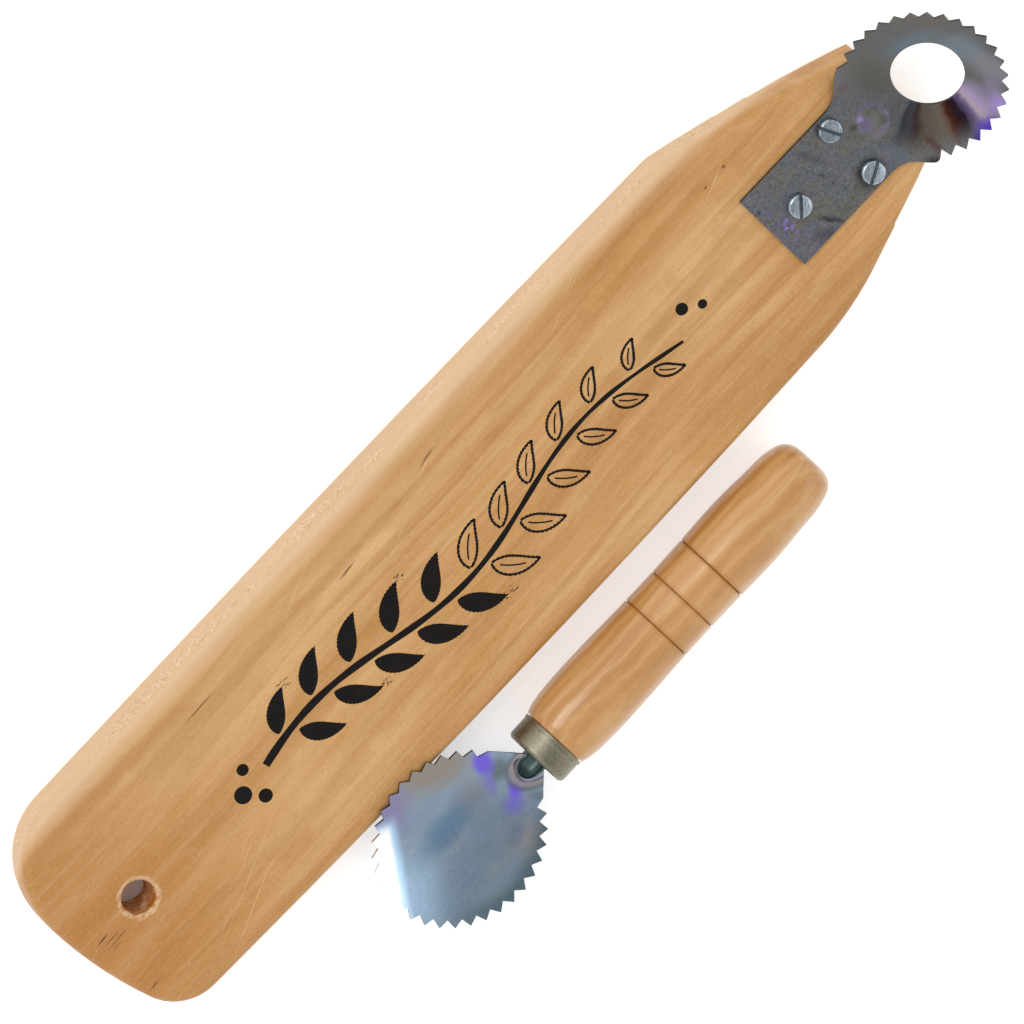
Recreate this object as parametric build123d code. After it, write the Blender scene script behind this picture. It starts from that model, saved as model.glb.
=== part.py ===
from build123d import *
import os
from math import asin, cos, degrees, hypot, radians, sin, sqrt

# A two-piece coconut grater set, in millimetres.
# A pine plank to sit on carries a toothed scoop blade held by three slotted screws at its nose.
# A small hand scraper, a toothed dish on a turned handle, lies with its dish on the plank's edge.
# +X runs along the plank to its nose, +Y to its left edge, +Z up, and z = 0 is its underside.
# The origin is the middle of the plank's underside.

# Plank
plank_length = 428.0
plank_width = 95.4           # at the shoulders
plank_thickness = 18.0
edge_round = 4.0
bow_left = 1.1               # how far the planed sides bulge in the middle
bow_right = 2.6
flare_left = 1.1             # the left side is this much further out at the tail
tail_skew = 13.5             # the sawn tail reaches furthest this far to the left
tail_radius_left = 42.0
tail_radius_right = 167.0
tail_corner_left = 30.0
tail_corner_right = 20.5
nose_width = 45.4
nose_shift = -1.3            # the nose end lies this far to the right
taper_left = 79.7            # length of the tapered flank on each side
taper_right = 68.8
taper_bulge_left = 1.4
taper_bulge_right = 0.6
shoulder_left = 15.0         # rounding where the taper starts
shoulder_right = 120.0
hang_hole_diameter = 13.0
hang_hole_inset = 30.0       # hole centre from the tail end
hang_hole_shift = -1.6
hang_hole_chamfer = 1.0

# Bench blade, one pressed sheet: a flat plate that runs into a toothed scoop
blade_sheet = 1.2
seat_gap = 0.05              # the plate over the plank, and the screw heads over the plate
plate_width = 35.2
plate_overlap = 67.8         # rear edge of the plate from the plank's nose end
plate_shift = -1.9           # the plate sits a little right of the plank's middle
flat_length = 48.0           # rear edge to where the scoop starts to rise
scoop_radius = 75.0
scoop_lift = 23.5            # degrees that the scoop's axis leans back
scoop_shift = 2.5            # the scoop's centre lies left of the plate's middle
scoop_tip_radius = 31.3
scoop_tooth_count = 21
scoop_teeth_per_turn = 32
scoop_tooth_turn = 0.9       # degrees that the toothing is turned to the left
scoop_stretch = 1.5          # how far the disc is drawn out towards the neck
scoop_stretch_aside = -0.6   # and towards its right lobe
eye_diameter = 26.8
eye_ahead = 2.7              # the eye lies ahead of the scoop's centre
eye_aside = 0.3
neck_fillet_left = 11.0
neck_fillet_right = 13.0
neck_behind = 6.0            # the neck starts to curl up this far behind the rise
neck_ahead = 14.0            # and has the scoop's full curve this far ahead of it
neck_reach = 12.0            # its rounded sides run back over the flat plate by this much
lobe_notch_share = 0.35      # the last notch opens this much as wide towards the right lobe
lobe_round = 2.6
boss_radius = 7.0
boss_height = 1.3
boss_ahead = 6.0             # boss centre ahead of the rise
boss_aside = 1.4             # and left of the plate's middle

# Teeth of both blades
tooth_depth = 3.0

# Screws
screw_head_diameter = 9.4
screw_head_height = 2.7
screw_rim_height = 1.2       # straight side of the head
screw_rim_round = 1.0        # and the rounding over it
screw_crown = 0.3            # how far the head's top bulges
screw_shank_diameter = 4.8
screw_length = 15.5          # under the head, pointed end included
screw_point = 4.0
screw_tip_radius = 0.8
slot_width = 1.3
slot_depth = 1.3
front_screw_spacing = 23.5
front_screw_setback = 41.0   # from the plate's rear edge
rear_screw_setback = 13.9
slot_angles = {"left": -66.0, "right": 29.0, "rear": 49.0}
blade_hole_clearance = 0.25
pilot_clearance = 0.05

# Hand scraper blade, one pressed sheet: a toothed dish with a trough neck and tang
dish_sheet = 1.0
dish_radius = 100.0
dish_tip_radius = 34.2
dish_tooth_count = 31
dish_teeth_per_turn = 35
dish_tooth_turn = 2.3        # degrees that the toothing is turned to the right
dish_rise = 0.2              # rim plane above the handle's axis
neck_radius = 5.4            # outside of the half-round trough
neck_rim = 1.2               # trough edges above the handle's axis
neck_start = 30.6            # dish centre to the front of the trough
neck_wedge_end = 38.5

# Ferrule
ferrule_start = 39.6         # dish centre to the ferrule's closed end
ferrule_length = 10.3
ferrule_radius = 12.8
ferrule_wall = 0.8
ferrule_corner = 2.0
ferrule_bead = 0.3           # the open edge stands out this much
ferrule_bead_width = 1.3
ferrule_bead_round = 0.27
ferrule_clearance = 0.1
shoulder_gap = 0.5           # open edge of the ferrule to the handle's shoulder
neck_clearance = 0.15

# Handle, turned
handle_length = 136.1        # shoulder to butt
shoulder_step_radius = 13.3
shoulder_slope = 0.4
grip_radius = 15.15
waist_radius = 14.85
bulge_radius = 15.1
butt_radius = 12.5
butt_slope = -0.33
butt_round = 5.0
butt_face_radius = 6.0
grip_rise = 12.0             # shoulder to the full grip radius
waist_from = 48.0
waist_to = 83.0
bulge_from = 92.0            # second full radius, near the butt
bulge_to = 105.0
taper_at = 118.0             # the butt's taper, halfway
taper_radius = 14.4
groove_places = (53.7, 67.6, 83.1)
groove_width = 2.0
groove_depth = 0.9
tang_length = 34.0           # inside the handle, from the ferrule's closed end

# Where the scraper lies
scraper_x = -89.6            # dish centre along the plank
scraper_reach = 30.1         # dish centre beyond the plank's right shoulder line
scraper_roll = 4.7           # degrees, its outer side lower
scraper_turn = 0.46
rest_gap = 0.3
floor_gap = 0.2


def polar(radius, angle):
    """A point at a radius and an angle in degrees."""
    return (radius * cos(radians(angle)), radius * sin(radians(angle)))


def tooth_notches(tip_radius, per_turn, notch_angles, first_share=1.0):
    """V notches, each as wide as a tooth pitch where it leaves the tip circle.

    The first notch's outer flank opens by first_share of that.
    """
    pitch = 360 / per_turn
    root_radius = tip_radius - tooth_depth
    open_radius = tip_radius + tooth_depth
    open_angle = degrees(asin(tip_radius * sin(radians(pitch / 2)) * 2 / open_radius))
    notches = []
    for angle in notch_angles:
        share = first_share if angle == notch_angles[0] else 1.0
        root = polar(root_radius, angle)
        low = polar(open_radius, angle - share * open_angle)
        high = polar(open_radius, angle + open_angle)
        notches.append(make_face(Polyline(root, low, high, close=True)))
    return notches


def plank_outline():
    """The sawn outline, with bowed sides, a skewed round tail and a tapered nose."""
    half = plank_width / 2
    tail_x = -plank_length / 2
    nose_x = plank_length / 2

    def tail_point(y, radius):
        return (tail_x + radius - sqrt(radius**2 - (y - tail_skew) ** 2), y)

    left_tail = tail_point(half + flare_left, tail_radius_left)
    right_tail = tail_point(-half, tail_radius_right)
    left_shoulder = (nose_x - taper_left, half)
    right_shoulder = (nose_x - taper_right, -half)
    left_nose = (nose_x, nose_shift + nose_width / 2)
    right_nose = (nose_x, nose_shift - nose_width / 2)

    def bulged(start, end, bulge):
        """An arc whose middle stands off its chord, to the right of the way it runs."""
        run = Vector(end) - Vector(start)
        side = Vector(run.Y, -run.X).normalized()
        return ThreePointArc(start, (Vector(start) + Vector(end)) / 2 + side * bulge, end)

    edges = [
        TangentArc((tail_x, tail_skew), left_tail, tangent=(0, 1)),
        TangentArc((tail_x, tail_skew), right_tail, tangent=(0, -1)),
        bulged(right_tail, right_shoulder, bow_right),
        bulged(right_shoulder, right_nose, taper_bulge_right),
        Line(right_nose, left_nose),
        bulged(left_nose, left_shoulder, taper_bulge_left),
        bulged(left_shoulder, left_tail, bow_left),
    ]
    outline = Sketch() + make_face(Curve() + edges)
    corners = [
        (left_tail, tail_corner_left),
        (right_tail, tail_corner_right),
        (left_shoulder, shoulder_left),
        (right_shoulder, shoulder_right),
    ]
    for place, radius in corners:
        corner = outline.vertices().sort_by_distance(Vector(place))[0]
        outline = fillet(corner, radius)
    return outline


def screw_places():
    """Each screw's name and the place of its axis."""
    plate_back = plank_length / 2 - plate_overlap
    front = plate_back + front_screw_setback
    return {
        "left": (front, plate_shift + front_screw_spacing / 2),
        "right": (front, plate_shift - front_screw_spacing / 2),
        "rear": (plate_back + rear_screw_setback, plate_shift),
    }


def plank():
    """The board, its long edges rounded over, with the hanging hole and the screw pilots."""
    board = extrude(plank_outline(), plank_thickness)
    rims = board.edges().group_by(Axis.Z)
    board = fillet(rims[0] + rims[-1], edge_round)
    hole_x = -plank_length / 2 + hang_hole_inset
    hole = Pos(hole_x, hang_hole_shift, plank_thickness / 2) * Cylinder(
        hang_hole_diameter / 2, plank_thickness
    )
    mouth = Cone(
        hang_hole_diameter / 2,
        hang_hole_diameter / 2 + hang_hole_chamfer,
        hang_hole_chamfer,
    )
    top_mouth = Pos(hole_x, hang_hole_shift, plank_thickness - hang_hole_chamfer / 2) * mouth
    low_mouth = Pos(hole_x, hang_hole_shift, hang_hole_chamfer / 2) * Rot(X=180) * mouth
    board = board - hole - top_mouth - low_mouth
    for x, y in screw_places().values():
        seat = Pos(x, y, plank_thickness + blade_sheet)
        board -= seat * screw_shank(screw_shank_diameter / 2 + pilot_clearance, screw_length)
    return board


def screw_shank(radius, length):
    """A plain pointed shank that hangs down from z = 0."""
    outline = Polyline(
        (0, 0),
        (radius, 0),
        (radius, screw_point - length),
        (screw_tip_radius, -length),
        (0, -length),
        close=True,
    )
    return revolve(Plane.XZ * make_face(outline), Axis.Z)


def screw(name, place):
    """A pan-head wood screw, slotted, seated on the plate."""
    head_radius = screw_head_diameter / 2
    rim = (head_radius, screw_rim_height)
    crown = (head_radius - screw_rim_round, screw_head_height - screw_crown)
    profile = Curve() + [
        Line((0, 0), (head_radius, 0)),
        Line((head_radius, 0), rim),
        TangentArc(rim, crown, tangent=(0, 1)),
        TangentArc((0, screw_head_height), crown, tangent=(1, 0)),
        Line((0, screw_head_height), (0, 0)),
    ]
    head = revolve(Plane.XZ * make_face(profile), Axis.Z)
    slot = Box(
        2 * screw_head_diameter,
        slot_width,
        slot_depth,
        align=(Align.CENTER, Align.CENTER, Align.MAX),
    )
    head -= Pos(0, 0, screw_head_height) * Rot(Z=slot_angles[name]) * slot
    body = head + screw_shank(screw_shank_diameter / 2, screw_length)
    return Pos(*place, plank_thickness + blade_sheet + 2 * seat_gap) * body


def scoop_frame():
    """The scoop's own frame: origin on its middle, Z along its axis, X towards the toe."""
    rise_x = plank_length / 2 - plate_overlap + flat_length
    under_radius = scoop_radius + blade_sheet
    lift = radians(scoop_lift)
    middle = Vector(
        rise_x + under_radius * sin(lift),
        plate_shift + scoop_shift,
        plank_thickness + seat_gap + under_radius * (1 - cos(lift)),
    )
    return Plane(middle, x_dir=(cos(lift), 0, sin(lift)), z_dir=(-sin(lift), 0, cos(lift)))


def blade_underside():
    """The pressed sheet's lower face: flat, then a sphere that touches the plate where it rises."""
    back = plank_length / 2 - plate_overlap
    rise_x = back + flat_length
    middle_y = plate_shift + scoop_shift
    under_radius = scoop_radius + blade_sheet
    margin = 2.0
    front = rise_x + under_radius * sin(radians(scoop_lift)) + scoop_tip_radius
    half_breadth = scoop_tip_radius + 2 * margin
    columns = 34
    rows = 15

    def height(x, y):
        ahead = max(x - rise_x, 0)
        share = (x - rise_x + neck_behind) / (neck_behind + neck_ahead)
        share = min(max(share, 0), 1)
        curl = share * share * (3 - 2 * share)
        across = curl * (y - middle_y)
        drop = sqrt(under_radius**2 - ahead**2 - across**2)
        return plank_thickness + seat_gap + under_radius - drop

    grid = []
    for i in range(columns + 1):
        x = back - margin + (front - back + margin) * i / columns
        row = []
        for j in range(rows + 1):
            y = middle_y + half_breadth * (2 * j / rows - 1)
            row.append(Vector(x, y, height(x, y)))
        grid.append(row)
    return Face.make_surface_from_array_of_points(grid, tol=0.005)


def scoop_outline():
    """The toothed disc, its neck and the plate's front, drawn in the scoop's own frame."""
    drawn_out = Pos(-scoop_stretch, scoop_stretch_aside) * Circle(scoop_tip_radius)
    disc = Circle(scoop_tip_radius) + drawn_out
    neck_length = scoop_tip_radius + neck_ahead
    neck = Pos(-neck_length / 2, -scoop_shift) * Rectangle(neck_length, plate_width)
    outline = disc + neck
    sides = [(plate_width / 2, neck_fillet_left), (-plate_width / 2, neck_fillet_right)]
    for side, radius in sides:
        y = side - scoop_shift
        meeting = Vector(-scoop_stretch - sqrt(scoop_tip_radius**2 - y**2), y)
        corner = outline.vertices().sort_by_distance(meeting)[0]
        outline = fillet(corner, radius)
    pitch = 360 / scoop_teeth_per_turn
    first = scoop_tooth_turn - pitch * scoop_tooth_count / 2
    angles = [first + pitch * i for i in range(scoop_tooth_count + 1)]
    outline -= tooth_notches(scoop_tip_radius, scoop_teeth_per_turn, angles, lobe_notch_share)
    lobe_tip = polar(scoop_tip_radius, first - lobe_notch_share * pitch / 2)
    lobe_corner = outline.vertices().sort_by_distance(Vector(lobe_tip))[0]
    return fillet(lobe_corner, lobe_round)


def bench_blade():
    """The plate, neck and toothed scoop pressed from one sheet, with its eye and boss."""
    back = plank_length / 2 - plate_overlap
    sheet = Solid.thicken(blade_underside(), blade_sheet, normal_override=(0, 0, 1))
    frame = scoop_frame()
    scoop_blank = extrude(frame * scoop_outline(), scoop_tip_radius, both=True)
    plate_length = flat_length - neck_reach
    plate_blank = Pos(back + plate_length / 2, plate_shift, plank_thickness) * Box(
        plate_length, plate_width, scoop_radius
    )
    half_space = Pos(back + plate_length, 0, 0) * Box(
        plank_length, plank_width * 2, plank_length, align=(Align.MIN, Align.CENTER, Align.CENTER)
    )
    blank = plate_blank + (scoop_blank & half_space)
    blade = sheet & blank
    eye = frame * Pos(eye_ahead, eye_aside, 0) * Cylinder(eye_diameter / 2, scoop_radius)
    blade -= eye
    for x, y in screw_places().values():
        hole = Cylinder(screw_shank_diameter / 2 + blade_hole_clearance, plank_thickness)
        blade -= Pos(x, y, plank_thickness) * hole
    lean = asin(boss_ahead / scoop_radius)
    boss = Pos(
        back + flat_length + boss_ahead,
        plate_shift + boss_aside,
        plank_thickness + seat_gap + blade_sheet + scoop_radius * (1 - cos(lean)),
    ) * Rot(Y=-degrees(lean))
    blade += boss * boss_cap(boss_radius, boss_height, blade_sheet)
    blade -= boss * Pos(0, 0, -blade_sheet) * boss_cap(
        boss_radius - blade_sheet / 2, boss_height, blade_sheet
    )
    return blade


def boss_cap(radius, height, root):
    """A shallow round cap on z = 0, with a root that reaches down into the sheet."""
    outline = Curve() + [
        ThreePointArc((-radius, 0), (0, height), (radius, 0)),
    ]
    arc = outline.edges()[0].trim(0.5, 1)
    profile = Curve() + [
        arc,
        Line((radius, 0), (radius, -root / 2)),
        Line((radius, -root / 2), (0, -root / 2)),
        Line((0, -root / 2), (0, height)),
    ]
    return revolve(Plane.XZ * make_face(profile), Axis.Z)


def dish_outline():
    """The hand blade's toothed disc with straight shoulders to its neck."""
    pitch = 360 / dish_teeth_per_turn
    half_span = pitch * (dish_tooth_count - 1) / 2
    middle = 180 + dish_tooth_turn
    first_tip = polar(dish_tip_radius, middle - half_span)
    last_tip = polar(dish_tip_radius, middle + half_span)
    wedge = Polyline(
        first_tip,
        (neck_wedge_end, neck_radius),
        (neck_wedge_end, -neck_radius),
        last_tip,
        (0, 0),
        close=True,
    )
    outline = Circle(dish_tip_radius) + make_face(wedge)
    angles = [middle + pitch * (i + 0.5) - half_span for i in range(dish_tooth_count - 1)]
    return outline - tooth_notches(dish_tip_radius, dish_teeth_per_turn, angles)


def trough(radius, start, end, top):
    """A half-round bar along X below a flat top, its front end a quarter ball."""
    bar = Pos((start + end) / 2, 0, top) * Rot(Y=90) * Cylinder(radius, end - start)
    ball = Pos(start, 0, top) * Sphere(radius)
    below = Box(
        4 * dish_radius,
        4 * radius,
        2 * radius,
        align=(Align.CENTER, Align.CENTER, Align.MAX),
    )
    return (bar + ball) & (Pos(0, 0, top) * below)


def hand_blade():
    """The dish, neck and tang pressed from one sheet, in the scraper's own frame."""
    centre_height = dish_rise + sqrt(dish_radius**2 - dish_tip_radius**2)
    outer = Pos(0, 0, centre_height) * Sphere(dish_radius + dish_sheet)
    inner = Pos(0, 0, centre_height) * Sphere(dish_radius)
    blank = extrude(dish_outline(), dish_tip_radius, both=True)
    dish = (outer & blank) - inner
    hollow_radius = neck_radius - dish_sheet
    ball_x = neck_start + neck_radius
    tang_end = ferrule_start + tang_length
    channel = trough(neck_radius, ball_x, tang_end, neck_rim)
    blade = dish + channel
    slot_top = Pos(ball_x, 0, neck_rim) * Cylinder(
        hollow_radius, dish_tip_radius, align=(Align.CENTER, Align.CENTER, Align.MIN)
    )
    slot_run = Pos(ball_x, 0, neck_rim) * Box(
        tang_end,
        2 * hollow_radius,
        dish_tip_radius,
        align=(Align.MIN, Align.CENTER, Align.MIN),
    )
    return blade - trough(hollow_radius, ball_x, tang_end + neck_radius, neck_rim) - slot_top - slot_run


def ferrule():
    """The drawn steel cup on the handle's front, open towards the handle."""
    end_x = ferrule_start + ferrule_length
    cup = Pos(ferrule_start + ferrule_length / 2, 0, 0) * Rot(Y=90) * Cylinder(
        ferrule_radius, ferrule_length
    )
    front = cup.edges().filter_by(GeomType.CIRCLE).sort_by(Axis.X)[0]
    cup = fillet(front, ferrule_corner)
    bead = Pos(end_x - ferrule_bead_width / 2, 0, 0) * Rot(Y=90) * Cylinder(
        ferrule_radius + ferrule_bead, ferrule_bead_width
    )
    cup += fillet(bead.edges().filter_by(GeomType.CIRCLE), ferrule_bead_round)
    inside_start = ferrule_start + ferrule_wall
    inside = Pos((inside_start + end_x) / 2, 0, 0) * Rot(Y=90) * Cylinder(
        ferrule_radius - ferrule_wall, end_x - inside_start
    )
    inside_front = inside.edges().filter_by(GeomType.CIRCLE).sort_by(Axis.X)[0]
    inside = fillet(inside_front, ferrule_corner - ferrule_wall)
    return cup - inside - tang_bore(ferrule_start - ferrule_wall, inside_start + ferrule_wall)


def tang_bore(start, end):
    """The round bore that the tang passes through, along the handle's axis."""
    radius = hypot(neck_radius, neck_rim) + neck_clearance
    return Pos((start + end) / 2, 0, 0) * Rot(Y=90) * Cylinder(radius, end - start)


def handle():
    """The turned grip with three V grooves, a spigot for the ferrule and a bore for the tang."""
    shoulder = ferrule_start + ferrule_length + shoulder_gap
    butt = shoulder + handle_length
    spigot_start = ferrule_start + ferrule_wall + ferrule_clearance
    spigot_radius = ferrule_radius - ferrule_wall - ferrule_clearance
    spigot_chamfer = ferrule_corner - ferrule_wall
    grip = Spline(
        (shoulder, shoulder_step_radius),
        (shoulder + grip_rise, grip_radius),
        (shoulder + waist_from, waist_radius),
        (shoulder + waist_to, waist_radius),
        (shoulder + bulge_from, bulge_radius),
        (shoulder + bulge_to, bulge_radius),
        (shoulder + taper_at, taper_radius),
        (butt - butt_round, butt_radius),
        tangents=((1, shoulder_slope), (1, butt_slope)),
    )
    spigot = Polyline(
        (butt, 0),
        (spigot_start, 0),
        (spigot_start, spigot_radius - spigot_chamfer),
        (spigot_start + spigot_chamfer, spigot_radius),
        (shoulder, spigot_radius),
        (shoulder, shoulder_step_radius),
    )
    rounding = TangentArc(
        (butt - butt_round, butt_radius), (butt, butt_face_radius), tangent=(1, butt_slope)
    )
    profile = Curve() + [spigot, grip, rounding, Line((butt, butt_face_radius), (butt, 0))]
    wood = revolve(make_face(profile), Axis.X)
    for place in groove_places:
        x = shoulder + place
        vee = Polyline(
            (x - groove_width / 2, grip_radius + groove_depth),
            (x, waist_radius - groove_depth),
            (x + groove_width / 2, grip_radius + groove_depth),
            close=True,
        )
        wood -= revolve(make_face(vee), Axis.X)
    return wood - tang_bore(spigot_start - ferrule_wall, ferrule_start + tang_length + neck_clearance)


def scraper_rest():
    """Where the scraper lies: its dish on the plank's rounded edge, its grip on the floor."""
    roll = radians(scraper_roll)
    ball_height = dish_rise + sqrt(dish_radius**2 - dish_tip_radius**2)
    middle_y = -plank_width / 2 - scraper_reach
    ball_y = middle_y - ball_height * sin(roll)
    share = (scraper_x + plank_length / 2) / (plank_length - taper_right)
    bow = 4 * bow_right * share * (1 - share)
    edge_y = -plank_width / 2 - bow + edge_round
    edge_z = plank_thickness - edge_round
    reach = dish_radius + dish_sheet + edge_round + rest_gap
    ball_z = edge_z + sqrt(reach**2 - (ball_y - edge_y) ** 2)
    middle_z = ball_z - ball_height * cos(roll)
    bulge_x = ferrule_start + ferrule_length + shoulder_gap + (bulge_from + bulge_to) / 2
    pitch = degrees(asin((middle_z - bulge_radius - floor_gap) / bulge_x))
    return Pos(scraper_x, middle_y, middle_z) * Rot(0, 0, scraper_turn) * Rot(0, pitch, 0) * Rot(
        scraper_roll, 0, 0
    )


os.makedirs("parts", exist_ok=True)
lies = scraper_rest()
pieces = {
    "plank": plank(),
    "bench_blade": bench_blade(),
    "hand_blade": lies * hand_blade(),
    "ferrule": lies * ferrule(),
    "handle": lies * handle(),
}
for name, place in screw_places().items():
    pieces["screw_" + name] = screw(name, place)
for node, piece in pieces.items():
    export_step(piece, f"parts/{node}.step")
    print(node, round(piece.volume, 1))
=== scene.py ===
"""A sit-on coconut grater: a pine plank with a toothed steel scoop, and a loose hand scraper beside it."""

import bpy
import numpy as np
from mathutils import Matrix, Vector


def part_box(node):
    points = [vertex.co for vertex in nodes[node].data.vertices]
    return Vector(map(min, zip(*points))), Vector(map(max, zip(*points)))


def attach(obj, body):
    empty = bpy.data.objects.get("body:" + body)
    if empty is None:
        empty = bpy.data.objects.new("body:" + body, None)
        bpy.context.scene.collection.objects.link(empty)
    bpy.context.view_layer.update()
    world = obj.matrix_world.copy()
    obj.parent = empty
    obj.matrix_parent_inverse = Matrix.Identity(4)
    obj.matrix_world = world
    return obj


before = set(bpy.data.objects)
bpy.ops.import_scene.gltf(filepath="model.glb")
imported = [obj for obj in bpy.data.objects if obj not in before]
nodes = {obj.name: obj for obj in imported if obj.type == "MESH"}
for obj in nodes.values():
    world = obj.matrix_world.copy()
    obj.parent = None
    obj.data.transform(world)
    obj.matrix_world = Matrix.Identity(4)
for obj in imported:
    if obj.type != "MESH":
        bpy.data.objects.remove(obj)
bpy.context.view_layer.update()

MM = 1000  # millimetres in a metre
NO_HEIGHT = 1e9  # a unit of Z so large that height counts for nothing
MIX_UNDER, MIX_OVER, MIXED = 6, 7, 2  # a colour Mix node's sockets

# Places on the object that the finishes follow, in millimetres and degrees.
HOLE = (-182.9, -0.5, 0)
EYE = (228.4, 4.0, 0)
# The painted reflections round the eye run out from the next point.
REFLECTIONS_MEET = (228.2, 4.0, 0)  # where the colour bands round the eye would meet
BOSS = (201.2, 1.2, 0)
DISH, DISH_TURN = (-87.2, -75.4, 0), -34.9
NECK_MOUTH = (-51.0, -78.0, 0)
GRIP, GRIP_TURN, GRIP_LEAN = (-89.6, -77.8, 17), 0.46, 0.95  # a spot on the grip's axis, and its line
GROOVES = (104.1, 118.0, 133.5)  # counted along it from that spot
SLOT_TURNS = {"screw_left": -66, "screw_right": 29, "screw_rear": 49}


# Colours, nodes and patterns.


def colour(code, alpha=1.0):
    """An sRGB hex colour as linear red, green, blue and alpha."""
    parts = [int(code[i : i + 2], 16) / 255 for i in (0, 2, 4)]
    return (*[c / 12.92 if c <= 0.04045 else ((c + 0.055) / 1.055) ** 2.4 for c in parts], alpha)


def add(tree, kind, inputs=None, stops=(), **settings):
    """Adds one node, with its settings. Each input takes a value or an earlier node's socket.

    stops are a colour ramp's, in rising order: the first and last take the two that the ramp starts with.
    """
    node = tree.nodes.new("ShaderNode" + kind)
    for name, value in settings.items():
        setattr(node, name, value)
    for key, value in (inputs or {}).items():
        if isinstance(value, bpy.types.NodeSocket):
            tree.links.new(value, node.inputs[key])
        else:
            node.inputs[key].default_value = value
    ready = {0: 0, len(stops) - 1: -1}
    for i, (place, tone) in enumerate(stops):
        elements = node.color_ramp.elements
        element = elements[ready[i]] if i in ready else elements.new(place)
        element.position = place
        element.color = tone
    return node


def material(name):
    """An empty node material, and its tree."""
    made = bpy.data.materials.new(name)
    made.use_nodes = True
    made.node_tree.nodes.clear()
    return made, made.node_tree


def surface(tree, inputs):
    """Ends a material: one Principled shader with those inputs, as its surface."""
    shader = add(tree, "BsdfPrincipled", inputs)
    add(tree, "OutputMaterial", {"Surface": shader.outputs["BSDF"]})


def millimetres(tree):
    """Object coordinates as millimetres, so that every pattern below is sized by its real size."""
    place = add(tree, "TexCoord").outputs["Object"]
    return add(tree, "Mapping", {"Vector": place, "Scale": (MM, MM, MM)}).outputs["Vector"]


def turned(turn, lean=0.0):
    """A turn about Z and a lean about Y, in degrees, as a Mapping node's rotation."""
    return (0, np.radians(lean), np.radians(turn))


def own_frame(tree, place, centre, turn, lean=0.0):
    """The coordinates counted from a centre, turned and leaned: all three together, and each by itself."""
    inputs = {"Vector": place, "Location": centre, "Rotation": turned(turn, lean)}
    together = add(tree, "Mapping", inputs, vector_type="TEXTURE").outputs["Vector"]
    return together, add(tree, "SeparateXYZ", {"Vector": together}).outputs


def off_axis(tree, place, centre, stretch=1.0):
    """How far the coordinates lie from an upright line through a centre. X counts in units of stretch."""
    inputs = {"Vector": place, "Location": centre, "Scale": (stretch, 1, NO_HEIGHT)}
    away = add(tree, "Mapping", inputs, vector_type="TEXTURE").outputs["Vector"]
    return add(tree, "VectorMath", {0: away}, operation="LENGTH").outputs["Value"]


def cells(tree, place, size, detail=2.0, turn=0.0):
    """Soft noise whose cells have that size in millimetres along each axis."""
    inputs = {"Vector": place, "Rotation": turned(turn), "Scale": size}
    counted = add(tree, "Mapping", inputs, vector_type="TEXTURE").outputs["Vector"]
    return add(tree, "TexNoise", {"Vector": counted, "Scale": 1.0, "Detail": detail}).outputs


def wander(tree, place, size, reach):
    """The coordinates, pushed about by up to reach millimetres along each axis, in cells of that size."""
    push = cells(tree, place, size)["Color"]
    inputs = {0: push, 1: reach, 2: place}
    return add(tree, "VectorMath", inputs, operation="MULTIPLY_ADD").outputs["Vector"]


def share(tree, *limits):
    """How much of a tint shows: the product of its limits, each a number, a socket or a smooth step.

    A step is (value, low, high). It is 0 at low and 1 at high, smooth between them and held beyond
    them, and low may be the greater of the two. Two more numbers stand for the 0 and the 1.
    """
    names = ("Value", "From Min", "From Max", "To Min", "To Max")
    product = None
    for limit in limits:
        if isinstance(limit, tuple):
            inputs = dict(zip(names, (*limit, 0.0, 1.0)))
            limit = add(tree, "MapRange", inputs, interpolation_type="SMOOTHSTEP").outputs["Result"]
        if product is None:
            product = limit
        else:
            product = add(tree, "Math", {0: product, 1: limit}, operation="MULTIPLY").outputs["Value"]
    return product


def shade(tree, under, tint, *limits):
    """The colour under, with tint, a hex colour or a socket, laid on it by the share of those limits."""
    tint = colour(tint) if isinstance(tint, str) else tint
    inputs = {0: share(tree, *limits), MIX_UNDER: under, MIX_OVER: tint}
    return add(tree, "Mix", inputs, data_type="RGBA").outputs[MIXED]


def stains(tree, place, under, spots, *limits):
    """Soft oval stains on the colour under: (centre, half sizes, turn in degrees, hex colour, strength).

    Centres and half sizes are in millimetres. The limits break all of the stains up.
    """
    for centre, reach, turn, tint, strength in spots:
        inputs = {"Vector": place, "Location": centre, "Rotation": turned(turn), "Scale": reach}
        ball = add(tree, "Mapping", inputs, vector_type="TEXTURE").outputs["Vector"]
        ball = add(tree, "TexGradient", {"Vector": ball}, gradient_type="SPHERICAL").outputs["Fac"]
        under = shade(tree, under, tint, (ball, 0.0, 0.75), strength, *limits)
    return under


# Wood.


def grain(tree, place, pith, turn, lean, ring):
    """Pine as it was sawn: growth rings round a far-off pith line that runs along X, and long fibres.

    Gives the rings, the fibres and the broad blotches, each from 0 to 1. ring is the rings' mean spacing.
    """
    bent = wander(tree, place, (110, 30, 30), (0, 16, 16))
    inputs = {"Vector": bent, "Location": pith, "Rotation": turned(turn, lean)}
    inputs = {
        "Vector": add(tree, "Mapping", inputs, vector_type="TEXTURE").outputs["Vector"],
        "Scale": np.pi / 10 / ring,
        "Distortion": 1.6,
        "Detail": 2.0,
        "Detail Scale": 2.2,
    }
    rings = add(tree, "TexWave", inputs, wave_type="RINGS", rings_direction="X").outputs["Fac"]
    fibres = cells(tree, place, (11, 0.6, 0.6), 4.0, turn)["Fac"]
    blotches = cells(tree, place, (70, 17, 17), 2.0, turn)["Fac"]
    return rings, fibres, blotches


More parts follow.
